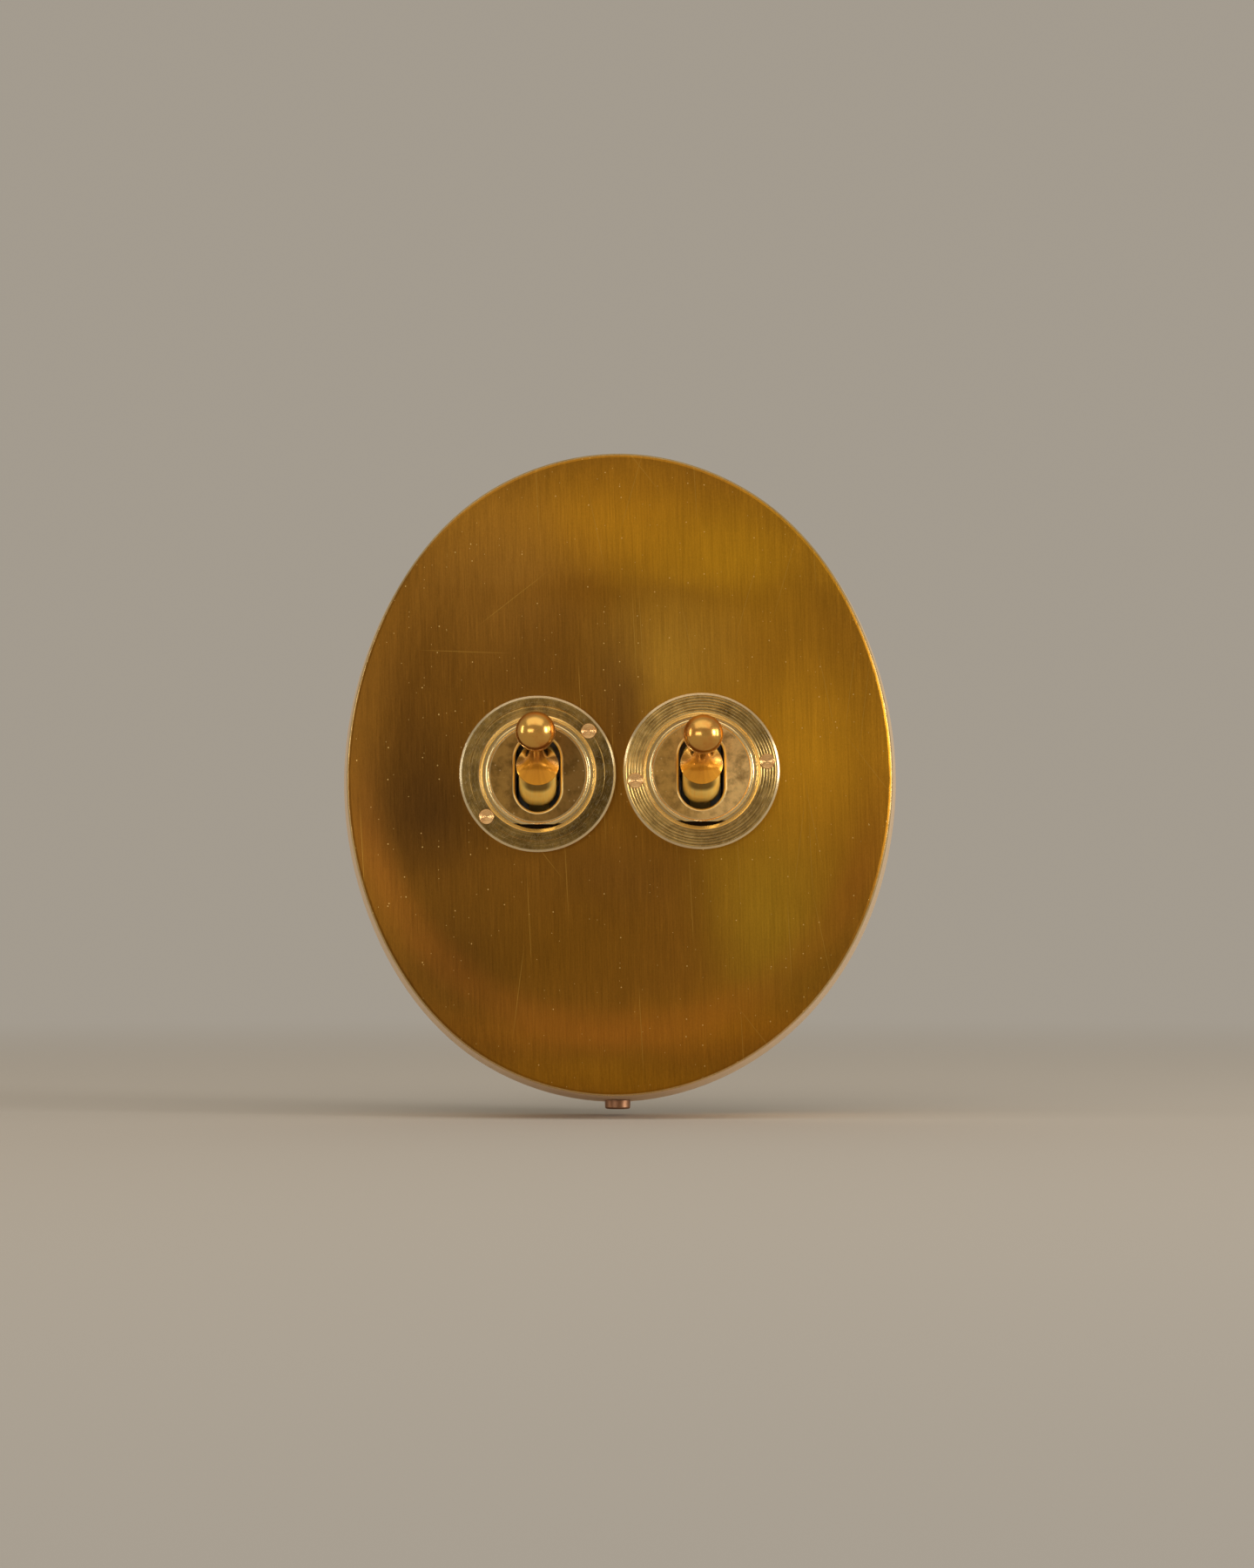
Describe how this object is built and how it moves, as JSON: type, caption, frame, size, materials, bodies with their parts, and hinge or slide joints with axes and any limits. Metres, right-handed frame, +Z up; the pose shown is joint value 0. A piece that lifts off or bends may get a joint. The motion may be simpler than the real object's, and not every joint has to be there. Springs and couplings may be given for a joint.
{
  "type": "two gang dolly light switch",
  "caption": "Egg-shaped brass wall cover with dolly switches in turned bezel rings: up and down levers over a steel back plate.",
  "frame": {"origin": "on the wall plane, half way between the switches, at the centre of the wall fixing holes", "axes": "+Z up, +Y into the wall, -Y out of the switch's face towards the room, +X to the right seen from the room"},
  "size_m": [0.1371, 0.0568, 0.162],
  "materials": {
    "cover_brass": "aged brushed brass with brown patina",
    "ring_brass": "turned brass with fine concentric grooves",
    "cap_brass": "satin brass",
    "lever_brass": "polished brass",
    "copper_fastener": "copper plated, turned heads",
    "contact_brass": "bright machined brass",
    "plated_steel": "zinc plated sheet",
    "bright_steel": "bright",
    "black_steel": "blackened and oiled",
    "moulding": "moulded dark brown",
    "insulator": "moulded",
    "porcelain": "glazed"
  },
  "bodies": {
    "case": {"cover": "cover_brass", "back_plate": "plated_steel", "cover_screw": "copper_fastener", "earth_pillar": "contact_brass", "earth_screw": "contact_brass", "left_bezel_ring": "ring_brass", "left_bezel_rivets": "copper_fastener", "left_dial_cap": "cap_brass", "left_pivot_pin": "black_steel", "left_switch_body": "moulding", "left_contact_base": "porcelain", "left_base_screws": "bright_steel", "left_upper_terminal": "contact_brass", "left_lower_terminal": "contact_brass", "left_common_terminal": "contact_brass", "left_terminal_screws": "contact_brass", "right_bezel_ring": "ring_brass", "right_bezel_rivets": "copper_fastener", "right_dial_cap": "cap_brass", "right_pivot_pin": "black_steel", "right_switch_body": "moulding", "right_contact_base": "porcelain", "right_base_screws": "bright_steel", "right_upper_terminal": "contact_brass", "right_lower_terminal": "contact_brass", "right_common_terminal": "contact_brass", "right_terminal_screws": "contact_brass"},
    "left_dolly": {"left_lever": "lever_brass", "left_plunger": "insulator", "left_plunger_spring": "bright_steel"},
    "right_dolly": {"right_lever": "lever_brass", "right_plunger": "insulator", "right_plunger_spring": "bright_steel"},
    "left_rocker": {"left_rocker": "contact_brass"},
    "right_rocker": {"right_rocker": "contact_brass"}
  },
  "joints": [
    {"name": "left_lever_throw", "type": "hinge", "parent": "case", "child": "left_dolly", "pos_m": [-0.0197, -0.0268, -0.00035], "axis": [1, 0, 0], "range_deg": [0, 40.2]},
    {"name": "right_lever_throw", "type": "hinge", "parent": "case", "child": "right_dolly", "pos_m": [0.0197, -0.0268, 0.00035], "axis": [1, 0, 0], "range_deg": [0, 37]},
    {"name": "left_rocker_tilt", "type": "hinge", "parent": "case", "child": "left_rocker", "pos_m": [-0.0197, -0.0141, -0.00035], "axis": [1, 0, 0], "range_deg": [-20.1, 0]},
    {"name": "right_rocker_tilt", "type": "hinge", "parent": "case", "child": "right_rocker", "pos_m": [0.0197, -0.0141, 0.00035], "axis": [1, 0, 0], "range_deg": [-18.5, 0]}
  ],
  "couplings": [
    {"joint": "left_rocker_tilt", "follows": "left_lever_throw", "ratio": -0.5},
    {"joint": "right_rocker_tilt", "follows": "right_lever_throw", "ratio": -0.5}
  ]
}
